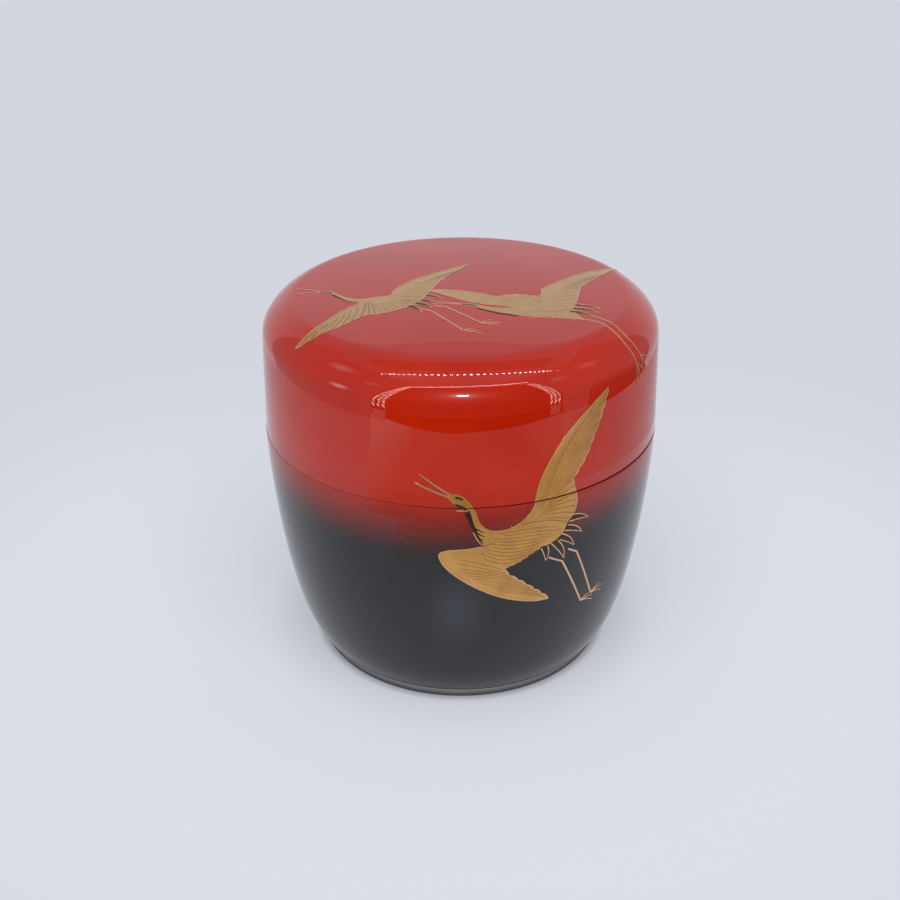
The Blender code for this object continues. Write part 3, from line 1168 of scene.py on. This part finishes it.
def lay_crane(name, edge, strokes, from_middle):
    """Lay one crane: its gold shape and then its lines, on the lid and, if it crosses, on the body."""
    sides = [("lid", 0)] if from_middle else [("lid", 1), ("body", -1)]
    for surface, side in sides:
        label = name + "_" + surface
        shape = flat_shape(label, edge, side)
        film_on_shell(label + "_gold", shape, [], surface, from_middle, GOLD_FILM, gold_powder)
        for kind, (film, finish) in LINE_FILMS.items():
            flat = flat_lines(label + "_" + kind, strokes[kind], side)
            if flat is not None:
                film_on_shell(flat.name, flat, [(pens, {})], surface, from_middle, film, finish)


print("the gold stands %.3f mm proud, and its pale lines %.3f mm" % (GOLD_FILM, LINE_FILMS["pale"][0]))

# %% [markdown]
# ## The crane in front
# This bird rises across the parting line, so its gold is cut there and the lid still lifts off. Places are
# millimetres round the girth from the middle of the front, and millimetres up or down from the parting.

# %% Outline of the front crane
neck_back = smooth(
    (-1.7, 2.3), (-0.8, 2.35), (0.2, 2.0), (1.0, 1.3), (1.7, 0.3), (2.3, -0.6), (2.6, -1.7), (3.2, -2.9),
    (4.3, -3.8), (5.8, -4.1), (7.5, -3.9), (9.1, -3.1),
)
wing_front = smooth(
    (9.1, -3.1), (10.6, -1.7), (11.4, -0.2), (11.6, 1.2), (12.4, 3.8), (13.8, 6.4), (15.6, 9.0),
    (18.2, 11.5), (21.2, 13.6), (24.4, 15.4),
)
wing_back = smooth(
    (24.4, 15.4), (23.6, 12.9), (22.6, 10.5), (21.4, 8.1), (20.4, 6.0), (19.1, 4.1), (17.7, 2.5),
)
wing_tips = feather_tips(wing_back, 8, 0.26)
wing_root = smooth((17.7, 2.5), (18.2, 0.6), (18.7, -1.5), (18.2, -3.5), (17.1, -4.8))
rump = smooth((17.1, -4.8), (16.9, -5.9), (16.0, -7.1), (14.6, -7.9), (12.8, -8.3))
low_root = smooth((12.8, -8.3), (11.5, -9.0), (10.1, -9.9), (8.5, -10.7), (6.6, -11.4))
low_back = smooth((6.6, -11.4), (7.5, -12.6), (9.2, -13.9), (11.4, -15.8), (13.2, -17.3), (15.0, -19.1))
low_tips = feather_tips(low_back, 6, 0.24)
low_front = smooth(
    (15.0, -19.1), (12.6, -18.9), (9.6, -18.1), (6.2, -16.8), (2.8, -14.9), (-0.2, -12.8), (-2.2, -10.9),
    (-3.2, -9.2), (-3.2, -8.1), (-1.9, -7.5), (0.4, -7.3), (3.3, -6.9),
)
neck_front = smooth(
    (3.5, -6.4), (3.0, -5.5), (2.6, -4.3), (2.2, -3.2), (1.8, -2.0), (1.5, -0.9), (1.0, -0.1), (0.2, 0.3),
    (-0.7, 0.5), (-1.5, 1.1), (-1.9, 1.8),
)
front_crane = outline(
    neck_back, wing_front, wing_tips, feather_tips(wing_root, 4, 0.20), feather_tips(rump, 4, 0.14),
    feather_tips(low_root, 6, 0.16), low_tips, low_front, neck_front,
)
print("front crane: an outline of", len(front_crane), "places")

# %% Feathers of the front crane
upper_covert = smooth((13.4, -0.6), (13.9, 2.0), (15.0, 5.0), (16.8, 8.2), (19.4, 11.2), (22.4, 13.7))
upper_wrist = smooth((11.9, -1.6), (12.4, 1.2), (13.3, 4.2), (15.0, 7.2), (17.6, 10.4), (20.0, 12.2))
shoulder = smooth((11.4, -3.0), (12.4, -2.2), (13.2, -1.4), (13.9, -0.4))
low_wrist = smooth((1.4, -8.2), (-0.4, -9.2), (-0.9, -10.6), (1.2, -12.6), (4.2, -14.6), (7.2, -16.2))
body_top = smooth((5.6, -4.6), (8.2, -4.5), (10.8, -4.4), (13.6, -4.7), (16.6, -5.5))
body_low = smooth((2.9, -8.5), (4.6, -9.6), (6.6, -10.4), (9.0, -10.0), (11.8, -8.8))
needle = pen(
    fan(stations(upper_covert, 0.02, 0.62, 15), stations(wing_back, 0.98, 0.04, 15), -0.04, 0.0, 0.97)
    + fan(stations(upper_wrist, 0.02, 0.80, 12), stations(upper_covert, 0.12, 0.94, 12), -0.06, 0.05, 0.88)
    + fan(stations(shoulder, 0.0, 1.0, 7), stations(wing_root, 0.92, 0.05, 7), 0.05, 0.0, 0.97)
    + fan(stations(low_wrist, 0.14, 0.97, 12), stations(low_back, 0.02, 0.95, 12), 0.03, 0.04, 0.97),
    0.10, 0.18,
)
needle += pen(scales(body_top, body_low, 10, 5, 0.24, -0.05), 0.16, 0.10)
needle += pen([smooth((9.3, -3.6), (11.2, -3.4), (13.6, -3.6), (15.6, -4.2), (17.1, -4.9))], 0.12, 0.24)
needle += pen([smooth((3.3, -6.9), (4.5, -6.5), (5.5, -6.1))], 0.24, 0.10)
print("front crane:", len(needle), "feather lines")

# %% Edges, legs, tail and ink of the front crane
pale = pen([wing_front[4:], wing_tips, wing_root, low_tips, low_front], 0.16, 0.16)
pale += pen(
    [smooth((-1.5, 2.2), (-3.9, 3.8), (-6.1, 5.4)), smooth((-1.7, 1.8), (-4.1, 2.7), (-6.8, 3.9))],
    0.36, 0.18,
)
pale += pen([smooth((1.9, -4.1), (2.4, -5.2), (3.0, -6.2), (3.6, -6.6))], 0.16, 0.16)
pale += pen([smooth((-0.6, -0.3), (1.1, -0.4))], 0.16, 0.20)
tail_edges, tail_vanes = plumes(
    ((17.4, -3.8), (21.2, -5.2), (17.6, -4.9)),
    ((17.4, -5.5), (20.2, -7.6), (16.7, -6.3)),
    ((16.3, -6.8), (18.9, -9.7), (16.0, -7.8)),
    ((15.7, -7.9), (17.1, -11.6), (14.4, -8.0)),
    ((13.9, -8.4), (13.8, -11.2), (12.8, -8.6)),
)
pale += tail_edges
for hip, knee, heel, toes in (
    ((14.3, -10.7), (16.9, -12.2), (22.3, -22.3), ((25.4, -23.4), (25.2, -22.3), (24.0, -21.4))),
    ((17.8, -10.1), (19.6, -11.2), (24.6, -21.7), ((27.5, -22.3), (27.7, -21.2), (26.6, -20.4))),
):
    pale += leg(hip, knee, heel, toes, 0.32)

black = pen([smooth((-0.8, 1.75), (-0.2, 1.65), (0.3, 1.35))], 0.36, 0.24)
black += pen([smooth((-0.8, 0.6), (0.0, 0.25), (0.8, -0.1))], 0.24, 0.44)
black += pen([smooth((0.9, -0.4), (1.3, -1.4), (1.7, -2.7), (2.3, -4.1))], 0.85, 0.45)
black += pen(
    [smooth((2.2, -3.5), (3.5, -4.3)), smooth((2.3, -4.2), (3.7, -5.1)), smooth((2.5, -5.0), (3.5, -5.8))],
    0.30, 0.10,
)
black += tail_vanes
lay_crane("front_crane", front_crane, {"needle": needle, "pale": pale, "black": black}, False)

# %% [markdown]
# ## The two cranes on the lid
# These two fly one behind the other over the dome. They are drawn from the middle of the lid, so a place
# is millimetres to the right and to the back, walked over the dome and down the shoulder.

# %% Draw and lay the left crane
neck_top = smooth(
    (-22.9, -1.2), (-21.4, -1.2), (-20.3, -2.0), (-19.2, -3.4), (-17.9, -4.7), (-15.9, -5.4), (-13.6, -4.8),
    (-11.1, -4.2),
)
right_front = smooth(
    (-11.1, -4.2), (-10.5, -1.7), (-9.1, 0.8), (-7.2, 3.1), (-4.8, 5.2), (-1.9, 7.6), (1.7, 10.5),
)
right_back = smooth(
    (1.7, 10.5), (-0.4, 7.2), (-2.1, 4.5), (-3.3, 1.7), (-4.4, -1.2), (-5.3, -3.7), (-6.0, -6.4),
)
belly = smooth((-6.0, -6.4), (-7.3, -8.1), (-9.2, -10.0), (-11.7, -11.4), (-13.8, -11.9), (-15.5, -12.5))
left_back = smooth(
    (-15.5, -12.5), (-16.7, -14.0), (-18.2, -15.7), (-20.2, -17.3), (-22.6, -18.6), (-25.6, -18.9),
)
left_tips = feather_tips(left_back, 6, 0.24)
left_front = smooth(
    (-25.6, -18.9), (-23.4, -17.4), (-21.6, -15.4), (-20.2, -13.0), (-18.8, -10.5), (-17.2, -8.4),
    (-15.8, -7.0),
)
neck_low = smooth((-15.8, -7.0), (-17.4, -6.7), (-18.9, -5.4), (-20.1, -3.6), (-21.2, -2.3), (-22.9, -1.7))
left_crane = outline(
    neck_top, right_front, feather_tips(right_back, 9, 0.20), feather_tips(belly, 7, 0.18), left_tips,
    left_front, neck_low,
)
right_covert = smooth((-10.4, -4.6), (-9.0, -1.8), (-7.2, 0.8), (-4.6, 3.4), (-1.6, 6.6))
spine = smooth((-15.0, -7.2), (-12.8, -7.0), (-10.8, -6.6), (-9.0, -6.0), (-7.4, -5.6))
left_covert = smooth((-15.0, -8.0), (-16.8, -9.6), (-18.4, -11.8), (-20.0, -14.4), (-21.6, -16.2))
needle = pen(
    fan(stations(left_covert, 0.0, 0.80, 7), stations(left_back, 0.02, 0.92, 7), 0.04, 0.0, 0.98)
    + fan(stations(spine, 0.0, 0.10, 3), stations(belly, 0.98, 0.80, 3), 0.04, 0.0, 0.97),
    0.24, 0.32,
)
needle += pen(
    fan(stations(spine, 0.14, 0.75, 8), stations(belly, 0.70, 0.08, 8), 0.06, 0.1, 0.96)
    + fan(stations(right_covert, 0.0, 0.62, 10), stations(right_back, 0.92, 0.08, 10), -0.04, 0.15, 0.97),
    0.07, 0.13,
)
pale = pen([right_front, right_back, left_front, left_tips, belly], 0.16, 0.16)
for guides in (
    ((-22.8, -1.2), (-24.8, -0.2), (-26.9, 0.8)),
    ((-22.8, -1.5), (-24.8, -1.5), (-26.8, -1.5)),
):
    pale += pen([smooth(*guides)], 0.28, 0.14)
tail_edges, tail_vanes = plumes(
    ((-7.7, -8.4), (-6.0, -11.5), (-8.7, -9.3)),
    ((-6.8, -7.4), (-4.3, -10.1), (-7.5, -8.2)),
    ((-6.1, -6.2), (-3.4, -8.3), (-6.7, -7.1)),
    ((-5.4, -4.3), (-2.9, -6.3), (-5.9, -5.2)),
)
pale += tail_edges
for hip, knee, heel, toes in (
    ((-6.1, -10.2), (-4.5, -11.2), (0.4, -18.5), ((3.6, -20.2), (3.1, -19.1), (2.2, -17.9))),
    ((-4.2, -9.0), (-2.4, -9.5), (3.2, -15.9), ((6.0, -17.0), (6.0, -15.7), (4.7, -14.6))),
):
    pale += leg(hip, knee, heel, toes, 0.30)
black = tail_vanes + pen([smooth((-23.0, -1.5), (-21.6, -1.6), (-20.8, -2.2))], 0.20, 0.32)
black += pen([smooth((-20.6, -2.9), (-19.6, -4.2), (-18.0, -6.0), (-16.4, -6.8))], 0.36, 0.18)
lay_crane("left_crane", left_crane, {"needle": needle, "pale": pale, "black": black}, True)

# %% Draw and lay the right crane
far_front = smooth(
    (-5.3, -2.4), (-3.0, -2.3), (-0.6, -2.6), (1.7, -3.4), (4.0, -4.4), (5.9, -5.3), (7.3, -4.7),
    (9.2, -4.5), (11.1, -4.7), (12.7, -4.9),
)
near_front = smooth(
    (12.7, -4.9), (13.1, -3.2), (13.3, -1.4), (15.6, 1.4), (18.5, 4.8), (21.4, 7.4), (24.1, 9.2),
    (26.9, 11.2),
)
near_back = smooth(
    (26.9, 11.2), (24.8, 7.9), (22.8, 5.0), (21.0, 2.3), (19.6, -0.2), (19.1, -2.4), (18.7, -5.0),
    (18.1, -7.7), (17.6, -9.5),
)
under_tail = smooth((17.6, -9.5), (17.9, -11.3), (19.1, -13.7))
belly = smooth((19.1, -13.7), (16.6, -13.5), (13.6, -13.3), (10.6, -13.1), (8.0, -12.6))
throat = smooth((8.0, -12.6), (5.7, -11.8), (3.4, -10.4), (1.6, -9.3), (0.2, -8.9))
crown = smooth((0.2, -8.3), (1.5, -8.2), (3.0, -8.9), (4.6, -9.6), (6.4, -9.9), (8.3, -9.8))
far_back = smooth((8.3, -9.6), (5.6, -9.0), (3.2, -8.3), (0.4, -7.0), (-2.6, -4.6), (-5.3, -2.6))
right_crane = outline(
    far_front, near_front, feather_tips(near_back, 10, 0.14), under_tail, belly, throat, crown, far_back,
)
near_covert = smooth((14.4, -6.4), (15.2, -3.4), (16.4, -0.6), (18.6, 2.4), (21.6, 5.8))
back_line = smooth((7.4, -8.6), (9.4, -8.4), (11.4, -8.2), (13.2, -8.0))
needle = pen(
    fan(stations(back_line, 0.0, 1.0, 9), stations(far_front, 0.64, 0.98, 9), 0.05, 0.3, 0.97)
    + fan(stations(near_covert, 0.0, 0.75, 10), stations(near_back, 0.80, 0.15, 10), -0.05, 0.1, 0.97),
    0.07, 0.14,
)
needle += pen([smooth((10.4, -10.9), (12.6, -11.0), (14.9, -10.8), (17.4, -9.9))], 0.10, 0.16)
pale = pen([far_front, near_front, near_back, belly, far_back], 0.16, 0.16)
pale += pen(
    [smooth((0.3, -8.5), (-2.3, -7.8), (-4.9, -7.2)), smooth((0.3, -8.7), (-2.2, -8.3), (-4.6, -8.1))],
    0.30, 0.14,
)
tail_edges, tail_vanes = plumes(
    ((17.8, -7.8), (22.0, -9.1), (17.7, -8.8)),
    ((17.6, -9.0), (21.6, -11.0), (17.4, -10.0)),
    ((17.1, -10.2), (20.8, -12.8), (16.9, -11.2)),
)
pale += tail_edges
for bends, toes in (
    (
        ((19.1, -13.7), (20.8, -14.4), (22.3, -15.9), (24.3, -17.6), (26.4, -18.9), (28.6, -19.7)),
        ((31.8, -21.4), (32.1, -20.0), (31.2, -18.7)),
    ),
    (
        ((20.8, -12.5), (22.4, -13.9), (24.4, -15.8), (26.5, -17.1), (29.0, -17.9)),
        ((32.2, -18.9), (32.6, -17.3), (31.2, -16.2)),
    ),
):
    pale += pen([smooth(*bends)], 0.28, 0.26)
    pale += claws(bends[-1], toes, 0.05, 0.22, 0.12)
black = tail_vanes + pen([smooth((0.0, -8.6), (1.4, -8.7), (2.6, -9.2))], 0.22, 0.30)
black += pen([smooth((2.6, -10.1), (4.4, -11.2), (6.4, -12.2), (8.8, -12.9))], 0.18, 0.42)
lay_crane("right_crane", right_crane, {"needle": needle, "pale": pale, "black": black}, True)

for guide, _, _ in SURFACES.values():
    bpy.data.objects.remove(guide, do_unlink=True)

# %% [markdown]
# ## Hand the shells over to the frame
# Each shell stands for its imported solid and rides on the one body, because the lid only rests there.

# %% Frame calls for the shells
for shell_piece, node, slot_name in (
    (caddy_lid, "lid", "vermilion_lacquer"),
    (caddy_body, "body", "black_lacquer"),
):
    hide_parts(node)
    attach(shell_piece, "root")
    print(shell_piece.name, "stands for", node)
